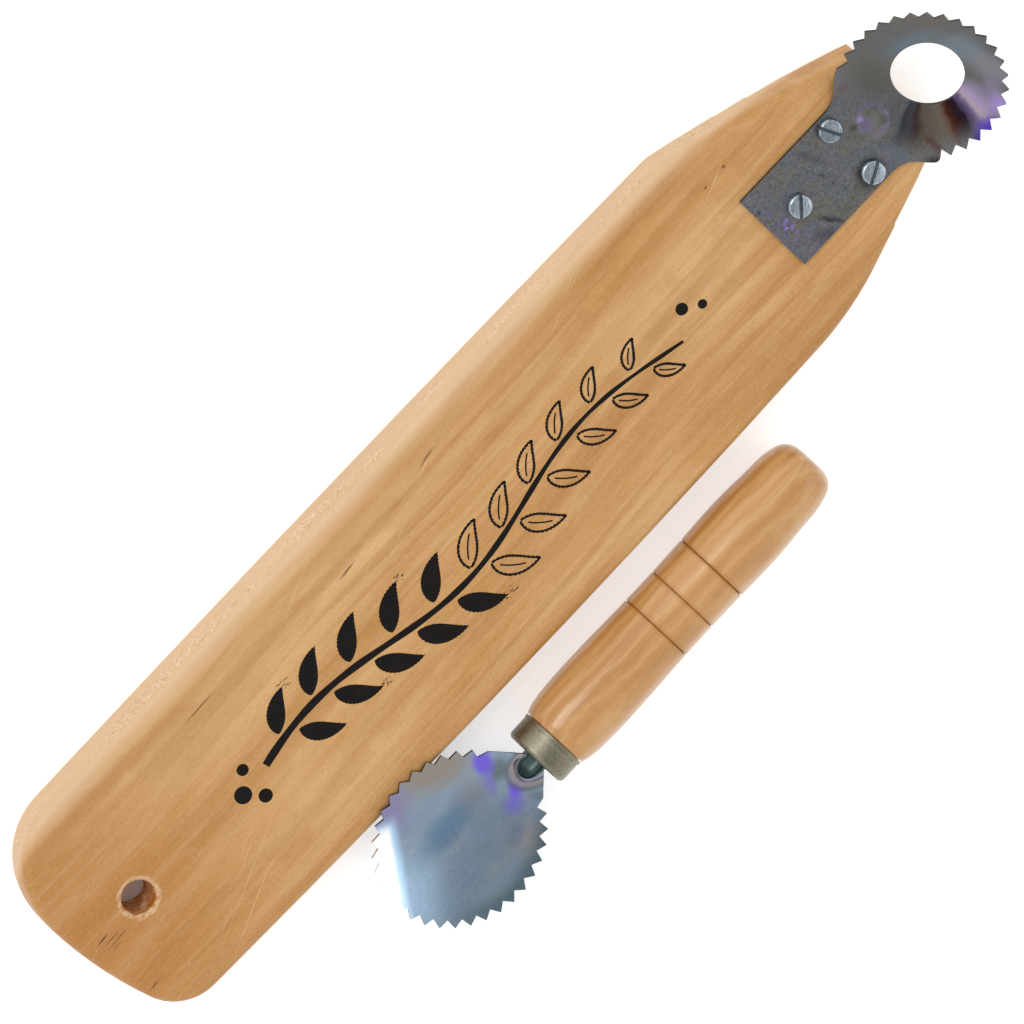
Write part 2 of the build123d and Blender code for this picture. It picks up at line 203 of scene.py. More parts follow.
def planed_pine():
    """Pine board, planed and thinly varnished: broad soft bands, fine fibres, knocks and scratches, with
    painted light along its left edge and round the hanging hole.
    """
    made, tree = material("pine_planed_thin_varnish")
    place = millimetres(tree)
    rings, fibres, blotches = grain(tree, place, (0, 16, -46), 1.6, 0.9, 8.0)
    stops = [(0.28, "C48F50"), (0.46, "CF9C60"), (0.58, "D6A469"), (0.74, "DFB27A")]
    stops = [(at, colour(code)) for at, code in stops]
    tone = add(tree, "ValToRGB", {"Fac": blotches}, stops).outputs["Color"]
    # Broad tints: paler along the left and before the blade, darker at the tail and the right flank.
    tone = stains(
        tree,
        wander(tree, place, (90, 40, 40), (30, 16, 0)),
        tone,
        [
            ((-70, 36, 18), (150, 20, 40), 1, "E4B780", 0.55),
            ((120, 14, 18), (70, 26, 40), 4, "E6BB86", 0.6),
            ((-192, 2, 18), (88, 66, 40), 0, "B97C3C", 0.85),
            ((160, -34, 18), (90, 18, 40), -6, "BC8A50", 0.55),
            ((-60, -40, 18), (130, 22, 40), -2, "C28D52", 0.4),
        ],
    )
    # The late wood of each ring is browner. Broad bands and thin lines run inside the rings, fainter at
    # the tail than at the nose.
    tone = shade(tree, tone, "B07A3C", (rings, 0.5, 1.0), 0.30)
    bent = wander(tree, place, (130, 50, 50), (0, 12, 0))
    bands = cells(tree, bent, (170, 6.0, 40), 1.0, 2.0)["Fac"]
    lines = cells(tree, bent, (150, 2.4, 40), 2.0, 2.0)["Fac"]
    along = add(tree, "SeparateXYZ", {"Vector": place}).outputs["X"]
    nose = share(tree, (along, -180, 60, 0.6, 1.15))
    tone = shade(tree, tone, "B37B3D", (bands, 0.52, 0.68), 0.36, nose)
    tone = shade(tree, tone, "E6BC86", (bands, 0.46, 0.32), 0.26, nose)
    tone = shade(tree, tone, "AE7636", (lines, 0.53, 0.72), 0.28, nose)
    tone = shade(tree, tone, "E9C08C", (lines, 0.46, 0.28), 0.24, nose)
    tone = shade(tree, tone, "E8C08E", (fibres, 0.50, 0.74), 0.22)
    tone = shade(tree, tone, "A8733A", (fibres, 0.46, 0.26), 0.20)
    # Pores and dust in the varnish, drawn at 0.8 mm so that they show.
    pores = cells(tree, place, (0.9, 0.8, 0.8), 2.0)["Fac"]
    tone = shade(tree, tone, "B27C40", (pores, 0.48, 0.28), 0.22)
    tone = shade(tree, tone, "E8C490", (pores, 0.52, 0.72), 0.14)
    # The left edge is painted paler, as a painted highlight on its rounding and side, with a brown streak
    # before it and a row of varnish crystals on it, painted as pale glints and dark specks. down grows
    # across the top, over the edge and on down the side, so that all three follow the surface.
    edge = wander(tree, place, (40, 40, 40), (0, 1.2, 1.2))
    edge = add(tree, "SeparateXYZ", {"Vector": edge}).outputs
    down = add(tree, "Math", {0: edge["Y"], 1: edge["Z"]}, operation="SUBTRACT").outputs["Value"]
    streak = ((down, 15.5, 19.5), (down, 25.0, 21.5), (blotches, 0.4, 0.6, 0.1, 0.4))
    tone = shade(tree, tone, "B57D42", *streak)
    # Painted highlight: the rounded left edge and its side are painted paler.
    tone = shade(tree, tone, "EBC9A2", (down, 21.5, 30.0), 0.66)
    grit = cells(tree, place, (1.3, 0.8, 0.8), 1.0)["Fac"]
    heaps = cells(tree, place, (24, 9, 9), 2.0)["Fac"]
    row = share(tree, (down, 30.5, 34.5), (down, 43.0, 38.0), (heaps, 0.36, 0.58, 0.15, 1.0))
    # Painted glints: the pale dots in the row. The dark dots below them are specks.
    tone = shade(tree, tone, "F6E2C6", row, (grit, 0.56, 0.66), 0.75)
    tone = shade(tree, tone, "B98552", row, (grit, 0.42, 0.32), 0.5)
    # Scratches run in patches at a slant across the grain.
    slant = 24.0
    scratches = cells(tree, place, (60, 0.45, 20), 1.0, slant)["Fac"]
    patches = cells(tree, place, (45, 22, 22), 1.0, slant)["Fac"]
    tone = shade(tree, tone, "EBCDA2", (scratches, 0.70, 0.76), (patches, 0.55, 0.62), 0.7)
    # Torn pale fibres with a painted highlight round the rim of the hanging hole, and its stained bore.
    torn = wander(tree, place, (3.5, 2.0, 2.0), (2.2, 2.2, 0))
    gap = off_axis(tree, torn, HOLE)
    frayed = cells(tree, place, (4, 2.5, 4), 2.0)["Fac"]
    tone = shade(tree, tone, "ECCBA2", (gap, 9.0, 7.3), (frayed, 0.34, 0.56), 0.75)
    tone = shade(tree, tone, "BC6F1A", (gap, 7.0, 6.3), 0.9)
    # Short splits behind the hole and along the left, and two pin holes before the blade.
    tone = stains(
        tree,
        wander(tree, place, (6, 1, 1), (2.0, 0.6, 0)),
        tone,
        [
            ((-203.0, -2.2, 18), (4.2, 0.55, 3), 5, "5A3514", 0.95),
            ((-200.5, -4.6, 18), (6.5, 0.4, 3), 3, "7A4E20", 0.8),
            ((-199.0, -6.4, 18), (7.0, 0.45, 3), 3, "7A4E20", 0.75),
            ((-201.5, -8.0, 18), (4.0, 0.35, 3), 2, "80532A", 0.6),
            ((-202.1, -29.4, 18), (3.2, 0.5, 3), 8, "6B431C", 0.85),
            ((-118.0, 33.0, 18), (9.0, 0.5, 3), 3, "6E4519", 0.8),
            ((-46.0, 28.0, 18), (6.0, 0.6, 3), 6, "6E4519", 0.8),
            ((3.0, 36.0, 18), (6.5, 0.7, 3), 12, "7A5026", 0.7),
            ((152.4, 29.9, 18), (1.1, 0.8, 3), 0, "7A4218", 0.9),
            ((142.4, 29.4, 18), (1.0, 0.7, 3), 0, "7A4218", 0.8),
        ],
    )
    relief = add(tree, "Math", {0: fibres, 1: 0.6, 2: pores}, operation="MULTIPLY_ADD").outputs["Value"]
    relief = add(tree, "Bump", {"Strength": 0.35, "Distance": 0.00008, "Height": relief})
    surface(
        tree,
        {
            "Base Color": tone,
            "Roughness": share(tree, (fibres, 0.3, 0.7, 0.42, 0.58)),
            "IOR": 1.5,
            "Specular IOR Level": 0.35,
            "Coat Weight": 0.12,
            "Coat Roughness": 0.3,
            "Normal": relief.outputs["Normal"],
        },
    )
    return made


def turned_pine():
    """Pine turned on a lathe and dipped in gloss varnish: long streaks, dark grooves partly of painted
    shade, sharp glints.
    """
    made, tree = material("pine_turned_gloss_varnish")
    grip, axes = own_frame(tree, millimetres(tree), GRIP, GRIP_TURN, GRIP_LEAN)
    rings, fibres, blotches = grain(tree, grip, (0, 30, -34), 2.0, -2.0, 5.0)
    tone = shade(tree, colour("C38B4A"), "D19B5D", (blotches, 0.34, 0.66))
    tone = shade(tree, tone, "DFB680", (rings, 0.40, 0.0), 0.30)
    tone = shade(tree, tone, "AC7434", (rings, 0.66, 1.0), 0.28)
    # Thin growth lines along the grip, clearest on its left flank.
    bent = wander(tree, grip, (90, 30, 30), (0, 3.0, 3.0))
    lines = cells(tree, bent, (140, 1.7, 9.0), 2.0, 1.5)["Fac"]
    flank = share(tree, (axes["Y"], 1.0, 9.0, 0.35, 1.0))
    tone = shade(tree, tone, "A56A2C", (lines, 0.53, 0.70), 0.36, flank)
    tone = shade(tree, tone, "E6C08C", (lines, 0.45, 0.28), 0.36, flank)
    tone = shade(tree, tone, "A8713A", (fibres, 0.46, 0.26), 0.16)
    # Varnish and grime lie darker in the three grooves, and painted shade widens each groove's dark line.
    for groove in GROOVES:
        away = add(tree, "Math", {0: axes["X"], 1: groove}, operation="SUBTRACT").outputs["Value"]
        away = add(tree, "Math", {0: away}, operation="ABSOLUTE").outputs["Value"]
        tone = shade(tree, tone, "B0762F", (away, 1.9, 0.6), 0.45)
    relief = add(tree, "Bump", {"Strength": 0.2, "Distance": 0.00006, "Height": fibres})
    surface(
        tree,
        {
            "Base Color": tone,
            "Roughness": share(tree, (fibres, 0.3, 0.7, 0.34, 0.46)),
            "IOR": 1.5,
            "Coat Weight": 0.6,
            "Coat Roughness": 0.12,
            "Normal": relief.outputs["Normal"],
        },
    )
    return made


# Metal.


def rolled_sheet(tree, place, greys, mottle, depth):
    """Bare sheet as it left the rolls: four greys drifting into one another under a fine mottle.

    mottle is the size of its specks in millimetres and depth its strength. Gives the colour and the specks.
    """
    drift = cells(tree, place, (mottle * 16, mottle * 12, mottle * 12), 4.0)["Fac"]
    stops = [(at, colour(code)) for at, code in zip((0.34, 0.45, 0.55, 0.66), greys)]
    tone = add(tree, "ValToRGB", {"Fac": drift}, stops).outputs["Color"]
    speck = cells(tree, place, (mottle, mottle, mottle), 4.0)["Fac"]
    for factor, extreme in ((0.75, 0.3), (1.2, 0.7)):
        reach = share(tree, (speck, 0.5, extreme), depth)
        inputs = {0: reach, MIX_UNDER: tone, MIX_OVER: (factor, factor, factor, 1)}
        tone = add(tree, "Mix", inputs, data_type="RGBA", blend_type="MULTIPLY").outputs[MIXED]
    return tone, speck


def shaded_cut_edges(tree, tone, strength):
    """Painted shade on the sheared sides of a sheet: wherever the surface faces sideways it is painted
    darker than its faces.
    """
    normal = add(tree, "NewGeometry").outputs["Normal"]
    facing = add(tree, "SeparateXYZ", {"Vector": normal}).outputs["Z"]
    facing = add(tree, "Math", {0: facing}, operation="ABSOLUTE").outputs["Value"]
    return shade(tree, tone, "2E2C2A", (facing, 0.5, 0.3), strength)


def bare_metal(tree, tone, relief, roughness, bump, metal=1.0):
    """Ends a metal material, whose roughness, from the first value to the second, and bump follow relief.

    metal falls below 1 where oxide lies thick.
    """
    bumped = add(tree, "Bump", {"Strength": bump, "Distance": 0.00005, "Height": relief})
    surface(
        tree,
        {
            "Base Color": tone,
            "Metallic": metal,
            "Roughness": share(tree, (relief, 0.3, 0.7, *roughness)),
            "Normal": bumped.outputs["Normal"],
        },
    )


def middle_of(name):
    """The middle of a node's box, in millimetres."""
    low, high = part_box(name)
    return (low + high) / 2 * MM


def bench_steel():
    """Stainless sheet, pressed and heat-tinted: dull dark grey, with painted reflections in violet, blue
    and red-brown round the scoop and the boss, and painted shade on its edges.
    """
    made, tree = material("stainless_sheet_pressed_tinted_painted_reflections")
    place = millimetres(tree)
    tone, speck = rolled_sheet(tree, place, ("72736D", "7A7775", "71767C", "7F7B80"), 0.9, 0.9)
    # The scoop is darker than the plate.
    along = add(tree, "SeparateXYZ", {"Vector": place}).outputs["X"]
    tone = shade(tree, tone, "5C5A56", (along, 192.0, 214.0), 0.55)
    # Painted reflections: round the eye the pressed scoop reflects bands that run outwards from it, set by
    # their angle.
    # Those towards the right bend back as they go out, and fine streaks run in all of them.
    twist = wander(tree, place, (9, 9, 9), (3.0, 3.0, 0))
    streaked = wander(tree, twist, (1.6, 1.6, 1.6), (1.3, 1.3, 0))
    inputs = {"Vector": streaked, "Location": REFLECTIONS_MEET}
    turn = add(tree, "Mapping", inputs, vector_type="TEXTURE").outputs["Vector"]
    turn = add(tree, "TexGradient", {"Vector": turn}, gradient_type="RADIAL").outputs["Fac"]
    far = off_axis(tree, place, EYE)
    bend = share(tree, far, 0.0022, (turn, 0.16, 0.24))
    turn = add(tree, "Math", {0: turn, 1: bend}, operation="ADD").outputs["Value"]
    bands = [
        (0.062, "5F636B", 0.0),
        (0.080, "343945", 0.9),
        (0.096, "45414A", 0.8),
        (0.116, "3F2B29", 0.9),
        (0.136, "665C52", 0.9),
        (0.190, "71675B", 0.9),
        (0.212, "6A5346", 0.9),
        (0.232, "4E2A22", 1.0),
        (0.258, "35201E", 1.0),
        (0.288, "241C28", 1.0),
        (0.314, "6F5F86", 0.9),
        (0.326, "B3A2B4", 0.9),
        (0.346, "AC98C0", 0.85),
        (0.400, "8C86A8", 0.0),
    ]
    bands = [(at, colour(code, alpha)) for at, code, alpha in bands]
    bands = add(tree, "ValToRGB", {"Fac": turn}, bands).outputs
    tone = shade(tree, tone, bands["Color"], bands["Alpha"], (far, 37, 25))
    # More painted reflections round the scoop: blue-grey, deep and pale violet, and dark and red-brown
    # patches.
    tone = stains(
        tree,
        streaked,
        tone,
        [
            ((243, 4, 37), (13, 9, 16), -62, "7C8A94", 0.7),
            ((232, 17, 33), (17, 7, 16), -14, "6C7B84", 0.7),
            ((246, -9, 38), (7, 13, 16), 10, "8C8B95", 0.7),
            ((231, -28, 31), (8.5, 6.5, 12), -20, "5236B4", 0.95),
            ((224.5, -29, 30), (5.5, 4.5, 12), -20, "493684", 0.9),
            ((238.5, -23, 35), (5.0, 9, 12), -10, "A892D4", 0.8),
            ((241, -16, 35), (4, 8, 12), -10, "958AA8", 0.5),
            ((207, -26, 23), (6, 7, 14), 20, "2B2427", 0.75),
            ((212, -20, 25), (2.2, 8, 14), 4, "5A3A36", 0.6),
            ((199.0, -14, 20), (5, 10, 14), 6, "747E8B", 0.5),
            ((204, 20, 22), (4, 4, 8), 0, "6F5553", 0.45),
            ((212, 16, 25), (10, 12, 10), 0, "5B5A4E", 0.5),
        ],
    )
    # A broken violet ring round the boss: a painted reflection on its rim.
    patchy = cells(tree, place, (3.5, 3.5, 3.5), 3.0)["Fac"]
    boss_distance = off_axis(tree, wander(tree, place, (5, 5, 5), (0.9, 0.9, 0)), BOSS)
    ring = ((boss_distance, 4.6, 5.6), (boss_distance, 7.2, 5.8), (patchy, 0.36, 0.56))
    tone = shade(tree, tone, "80709E", *ring, 0.55)
    # Painted highlights and painted shade on the boss: pale and violet inside the ring, dark beside it.
    # Then marks across the plate, and painted shade with grime round the left of the right screw's head.
    fine = wander(tree, place, (2.5, 2.5, 2.5), (1.8, 1.8, 0))
    dirt_and_shade = middle_of("screw_right") + Vector((0.0, 0.9, 0.0))
    tone = stains(
        tree,
        fine,
        tone,
        [
            ((201.6, 1.8, 20), (4.4, 3.8, 8), 40, "87867F", 0.7),
            ((198.4, 2.2, 20), (3.4, 4.4, 8), 0, "8678A6", 0.55),
            ((198.8, 5.0, 20), (2.2, 1.8, 8), 0, "AC98DC", 0.6),
            ((205.0, -1.8, 22), (2.8, 3.6, 8), 30, "4F4B42", 0.6),
            ((194.6, 4.6, 20), (2.6, 1.9, 8), 0, "3E3E44", 0.6),
            ((149.0, 8.4, 18), (1.4, 1.4, 6), 0, "3A3560", 0.7),
            ((165.5, -14.0, 18), (8.0, 1.6, 6), -58, "38383F", 0.75),
            ((160.0, -16.0, 18), (8.0, 4.0, 6), -30, "4C4B58", 0.6),
            ((187.0, 12.5, 18), (5.0, 4.0, 6), -50, "444349", 0.7),
            ((dirt_and_shade.x, dirt_and_shade.y, 18), (8.4, 8.4, 6), 0, "27262A", 0.9),
            ((176.0, 9.0, 18), (9.0, 2.6, 6), -66, "54535A", 0.5),
        ],
    )
    # Violet crackle behind the rear screw, and a few thin scratches.
    crackle = cells(tree, place, (1.6, 1.6, 1.6), 4.0)["Fac"]
    tone = stains(
        tree,
        fine,
        tone,
        [
            ((152.6, -4.6, 18), (8.0, 4.0, 6), 70, "A387DC", 0.95),
            ((150.5, 3.5, 18), (9.0, 3.0, 6), 82, "7F76A0", 0.7),
            ((156.0, -11.0, 18), (4.0, 2.6, 6), 20, "8E78C0", 0.7),
            ((183.5, 4.0, 18), (5.0, 0.8, 6), -58, "A29F9B", 0.7),
            ((181.5, -6.5, 18), (4.5, 0.7, 6), 20, "A29F9B", 0.8),
            ((175.0, -2.5, 18), (16.0, 1.2, 6), -74, "48484B", 0.7),
        ],
        (crackle, 0.50, 0.60),
    )
    # Painted shade on the sheared edges, then the finish.
    bare_metal(tree, shaded_cut_edges(tree, tone, 0.85), speck, (0.30, 0.46), 0.5)
    return made


def dish_steel():
    """Stainless sheet, pressed bright: blue-grey, with painted reflections, violet near the neck, and
    painted highlights and shade round the rim and the neck's lip.
    """
    made, tree = material("stainless_sheet_pressed_bright")
    place = millimetres(tree)
    tone, speck = rolled_sheet(tree, place, ("8196AC", "8A9BAC", "8DA0B4", "96A4B0"), 1.6, 0.16)
    # Broad reflections: warm at the plank's side, blue across the middle, paler towards the far rim.
    tone = stains(
        tree,
        wander(tree, place, (11, 11, 11), (6.0, 6.0, 0)),
        tone,
        [
            ((-76, -46, 18), (27, 16, 22), -30, "94897C", 0.9),
            ((-98, -46, 18), (15, 17, 22), 0, "8A84A8", 0.9),
            ((-85, -70, 18), (27, 9, 16), 4, "5C7F9E", 0.7),
            ((-106, -84, 18), (24, 20, 16), -30, "8399AE", 0.8),
            ((-68, -98, 18), (18, 14, 16), -40, "A2A3A6", 0.9),
            ((-92, -102, 18), (20, 12, 16), 0, "93A6B4", 0.9),
            ((-71, -91, 18), (9, 5, 16), 20, "7488A0", 0.6),
            ((-72, -68, 18), (12, 11, 16), 60, "8B8C96", 0.7),
        ],
    )
    # Painted reflections where the rim turns away: dark teal on the side away from the plank, a paler
    # grey-blue on the rim beyond it, and a pale painted highlight towards the tail.
    drawn = wander(tree, place, (14, 14, 14), (3, 3, 0))
    far = off_axis(tree, drawn, DISH)
    _, spot = own_frame(tree, drawn, DISH, DISH_TURN)
    lower = ((far, 25.5, 34.5), (spot["X"], -14.0, 12.0), (spot["Y"], 10.0, -8.0))
    tone = shade(tree, tone, "48656F", *lower, 0.85)
    tone = shade(tree, tone, "7E939C", (far, 30.0, 35.0), (spot["Y"], -14.0, -26.0), 0.5)
    tone = shade(tree, tone, "B6D6F2", (spot["X"], -20.5, -25.0), (spot["Y"], 16.0, 8.0), 0.95)
    # Painted violet reflections near the neck, with grey-teal patches.
    tone = stains(
        tree,
        wander(tree, place, (4, 4, 4), (2.4, 2.4, 0)),
        tone,
        [
            ((-60.5, -69.0, 18), (8.0, 6.0, 14), 40, "667476", 0.85),
            ((-62.5, -62.5, 18), (9.5, 5.2, 14), 69, "7461D8", 0.95),
            ((-66.5, -71.5, 18), (8.0, 3.4, 14), 69, "8279C6", 0.7),
            ((-61.5, -80.0, 18), (8.5, 3.8, 14), 46, "7F66F0", 0.95),
            ((-66.0, -84.0, 18), (6.5, 6.5, 14), 20, "8478D8", 0.8),
            ((-57.0, -88.5, 18), (3.0, 6.0, 14), 40, "6E7A80", 0.6),
        ],
    )
    # The neck: painted shade and light for a rounded lip round the trough's mouth: a dark outer line, a
    # pale lip, a thin dark line and a bright painted highlight inside it, and green oxide below.
    mouth = wander(tree, place, (6, 6, 6), (1.0, 1.0, 0))
    mouth = off_axis(tree, mouth, NECK_MOUTH, 1.25)
    tone = shade(tree, tone, "62646A", (mouth, 10.5, 8.4), 0.7)
    tone = shade(tree, tone, "9C9597", (mouth, 8.8, 7.2), 0.9)
    tone = shade(tree, tone, "4E4E66", (mouth, 6.6, 6.0), 0.7)
    tone = shade(tree, tone, "A9ABC0", (mouth, 5.8, 5.0), 0.9)
    trough = share(tree, (mouth, 5.0, 4.0))
    tone = shade(tree, tone, "5B7573", trough)
    metal = share(tree, (trough, 0.0, 1.0, 1.0, 0.35))
    # Painted shade on the sheared edges, then a white painted highlight on the tail side of the rim, its
    # sheared edges too.
    tone = shaded_cut_edges(tree, tone, 0.6)
    tone = shade(tree, tone, "FFFFFF", (spot["X"], -24.0, -26.5), (spot["Y"], 13.0, 7.0))
    bare_metal(tree, tone, speck, (0.24, 0.32), 0.12, metal)
    return made


def ferrule_steel():
    """Steel tube drawn to a cap and left satin: warm grey with faint turning lines."""
    made, tree = material("steel_ferrule_drawn_satin")
    place = millimetres(tree)
    tone, _ = rolled_sheet(tree, place, ("78735F", "827D6A", "898472", "908B78"), 1.0, 0.7)
    lines = cells(tree, place, (0.35, 60, 60), 2.0)["Fac"]
    tone = shade(tree, tone, "A39F8C", (lines, 0.5, 0.75), 0.45)
    bare_metal(tree, tone, lines, (0.36, 0.50), 0.3)
    return made


def zinc_plate(name, turn):
    """Steel screw with bright zinc plating: pale blue-grey, dark marks, and painted shade along the slot at
    that turn.
    """
    made, tree = material("steel_zinc_plated_" + name)
    place = millimetres(tree)
    tone, speck = rolled_sheet(tree, place, ("8F9AA4", "9DA9B3", "A5B1BB", "AEB9C2"), 1.2, 0.5)
    scuffs = cells(tree, place, (3.0, 0.5, 1.0), 2.0, 40.0)["Fac"]
    tone = shade(tree, tone, "5A6068", (scuffs, 0.56, 0.66), 0.7)
    # Painted shade along the slot: a dark band across the head at that turn.
    _, axes = own_frame(tree, place, middle_of(name), turn)
    across = add(tree, "Math", {0: axes["Y"]}, operation="ABSOLUTE").outputs["Value"]
    tone = shade(tree, tone, "4C5259", (across, 0.64, 0.45), 0.85)
    bare_metal(tree, tone, speck, (0.20, 0.34), 0.2)
    return made


def give(piece, finish):
    """Puts one finish on a piece."""
    piece.data.materials.clear()
    piece.data.materials.append(finish)


give(nodes["plank"], planed_pine())
give(nodes["handle"], turned_pine())
give(nodes["bench_blade"], bench_steel())
give(nodes["hand_blade"], dish_steel())
give(nodes["ferrule"], ferrule_steel())
for name, turn in SLOT_TURNS.items():
    give(nodes[name], zinc_plate(name, turn))


# The print: a leafy sprig along the plank, all of it flat strokes of ink. Its sizes are in millimetres.

PLANK_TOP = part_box("plank")[1].z * MM
INK_LOW, INK_HIGH = PLANK_TOP - 0.010, PLANK_TOP + 0.035
STROKE_STEPS = 48
STEM_START, STEM_RUN, STEM_ASIDE, STEM_WAVE = -118, 214, -4, 5.5
STEM_HALF, STEM_THINS = 1.5, 0.8  # half the stem's width at its root, and how much it loses to its tip
LEAF_PAIRS, SOLID_PAIRS = 11, 5
LEAF_FIRST, LEAF_STEP, LEAF_LAG, LEAF_LAST = 0.05, 0.085, 0.03, 0.985  # as shares of the stem
LEAF_ROOT = (0.5, 2.3)  # from the stem's middle line to a leaf's root
LEAF_LEAN, LEAF_BEND = 1.12, 0.75  # radians
LEAF_LONGEST, LEAF_FULLNESS = 21, 0.19
PEN = 0.95
RIB_HALF, RIB_FROM, RIB_TO = 0.3, 8, 34  # its half width, and the steps of the leaf that it spans
BERRIES = ((-126, -10, 2.7), (-131.5, -3.5, 3.4), (-125, 3.5, 2.3), (104, 3, 2.4), (110.5, -1.5, 1.8))
DASHES_PER_LEAF = 14


def black_ink():
    """Screen-printed black ink on wood: near black and nearly matt, thin where the grain shows through."""
    made, tree = material("ink_screen_printed_black")
    worn = cells(tree, millimetres(tree), (5.0, 0.7, 0.7), 3.0)["Fac"]
    surface(
        tree,
        {
            "Base Color": shade(tree, colour("191614"), "4A3B2C", (worn, 0.66, 0.76), 0.8),
            "Roughness": share(tree, (worn, 0.3, 0.7, 0.6, 0.8)),
            "Specular IOR Level": 0.12,
        },
    )
    return made


def sideways(line):
    """The unit step to the left of a line at each of its points: its direction turned by a right angle."""
    along = np.gradient(line, axis=0)
    along /= np.linalg.norm(along, axis=1, keepdims=True)
    return np.stack([-along[:, 1], along[:, 0]], axis=1)


def strokes(name, paths, ink):
    """Flat strokes of ink as closed ribbons. Each path is (middle line, half width at each point).

    A ribbon's cross section is a thin rectangle, square to the middle line: its sides lie at middle line
    plus and minus sideways times half width, between the ink's low and high face. Two caps close its ends.
    """
    points, faces, start = [], [], 0
    for line, half in paths:
        side = sideways(line) * half[:, None]
        left, right = line + side, line - side
        low, high = np.full((len(line), 1), INK_LOW), np.full((len(line), 1), INK_HIGH)
        corners = [(left, high), (left, low), (right, low), (right, high)]
        points.append(np.stack([np.hstack(corner) for corner in corners], axis=1).reshape(-1, 3))
        i = start + 4 * np.arange(len(line) - 1)[:, None, None]
        a = np.arange(4)[None, :, None]
        b = (a + 1) % 4
        faces += np.concatenate([i + a, i + b, i + 4 + b, i + 4 + a], axis=2).reshape(-1, 4).tolist()
        last = start + 4 * (len(line) - 1)
        faces += [[start + 3, start + 2, start + 1, start], [last, last + 1, last + 2, last + 3]]
        start += 4 * len(line)
    mesh = bpy.data.meshes.new(name)
    mesh.from_pydata((np.concatenate(points) / MM).tolist(), [], faces)
    mesh.materials.append(ink)
    piece = bpy.data.objects.new(name, mesh)
    bpy.context.scene.collection.objects.link(piece)
    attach(piece, "plank_body")


def stem_point(t):
    """The stem's middle line at t from 0 to 1: straight along the plank, with one and a half slow waves."""
    wave = STEM_WAVE * np.sin(3 * np.pi * t + 0.4)
    return np.stack([STEM_START + STEM_RUN * t, STEM_ASIDE + wave], axis=-1)


def leaf_line(root, angle, length, bend):
    """A leaf's middle line: from root at that angle, turning evenly by bend radians to its tip."""
    turn = angle + bend * np.linspace(0, 1, STROKE_STEPS)
    step = np.stack([np.cos(turn), np.sin(turn)], axis=1) * length / STROKE_STEPS
    return root + np.cumsum(step, axis=0)


def leaf_width(width):
    """Half width along a leaf: nought at the root, fullest at two fifths, and pointed at the tip.

    Two quick waves of a tenth of a millimetre make its edge as ragged as a screen print's.
    """
    t = np.linspace(0, 1, STROKE_STEPS)
    ragged = 0.10 * np.sin(95 * t + 7 * width) + 0.07 * np.sin(211 * t + 3 * width)
    return np.maximum(width * np.sin(np.pi * t**0.75) ** 0.9 + ragged, 0.12)


def leaf_edge(line, half):
    """A leaf drawn as an outline: up its left edge and back down its right, with a slightly shaky pen."""
    side = sideways(line) * half[:, None]
    edge = np.concatenate([line + side, (line - side)[::-1]])
    t = np.linspace(0, 1, len(edge))
    return edge, PEN / 2 + 0.09 * np.sin(150 * t) + 0.06 * np.sin(331 * t + 1)


def leaves():
    """The leaves in pairs along the stem, first solid and then outlined: solid ones, outlines and ribs.

    A leaf's length falls off to both sides of a place a third of the way up, and more towards the tip.
    """
    solid, outlined, ribs = [], [], []
    for pair in range(LEAF_PAIRS):
        up = pair / (LEAF_PAIRS - 1)
        length = LEAF_LONGEST - 6.5 * abs(up - 0.35) - 4.5 * up**2
        for side in (1, -1):
            at = LEAF_FIRST + LEAF_STEP * pair + (LEAF_LAG if side < 0 else 0)
            aside = np.array([LEAF_ROOT[0], side * LEAF_ROOT[1]])
            root = stem_point(np.array(min(at, LEAF_LAST))) + aside
            line = leaf_line(root, side * LEAF_LEAN, length, -side * LEAF_BEND)
            half = leaf_width(length * LEAF_FULLNESS)
            if pair < SOLID_PAIRS:
                solid.append((line, half))
            else:
                outlined.append(leaf_edge(line, half))
                ribs.append((line[RIB_FROM:RIB_TO], np.full(RIB_TO - RIB_FROM, RIB_HALF)))
    return solid, outlined, ribs


def berry(x, y, radius):
    """A round spot as one stroke, as wide at each point as a circle, and a hair wider so its ends stay."""
    a = np.linspace(-1, 1, 24)
    return np.stack([x + radius * a, np.full(24, y)], axis=1), radius * np.sqrt(1.0005 - a**2)


def dry_dashes(solid):
    """Dry ink dragged beyond every third solid leaf's tip, in short thin dashes along the grain."""
    chance = np.random.default_rng(5)
    dashes = []
    for line, _ in solid[::3]:
        for away in chance.uniform((-2.0, -1.6), (3.5, 1.6), (DASHES_PER_LEAF, 2)):
            x, y = line[-1] + away
            length = chance.uniform(0.4, 1.6)
            dash = np.array([(x, y), (x + length / 2, y + 0.04), (x + length, y)])
            dashes.append((dash, np.array([0.05, chance.uniform(0.09, 0.2), 0.05])))
    return dashes


ink = black_ink()
t = np.linspace(0, 1, 160)
strokes("print_stem", [(stem_point(t), STEM_HALF - STEM_THINS * t + 0.12 * np.sin(61 * t))], ink)
solid, outlined, ribs = leaves()
strokes("print_leaves_solid", solid, ink)
strokes("print_leaves_outlined", outlined, ink)
strokes("print_leaf_ribs", ribs, ink)
strokes("print_berries", [berry(*spot) for spot in BERRIES], ink)
strokes("print_dry_dashes", dry_dashes(solid), ink)


# Studio: pale floor, even white surroundings, a large soft lamp from the plank's left and a weak one from
# its right. Sizes are in metres.

FLOOR_HALF, FLOOR_HEIGHT = 6, -0.0004
FLOOR_GLOW = 0.45


def ray_is(tree, *kinds):
    """1 for a ray of one of those kinds, else 0."""
    seen = add(tree, "LightPath").outputs
    found = seen[kinds[0]]
    for kind in kinds[1:]:
        found = add(tree, "Math", {0: found, 1: seen[kind]}, operation="MAXIMUM").outputs["Value"]
    return found


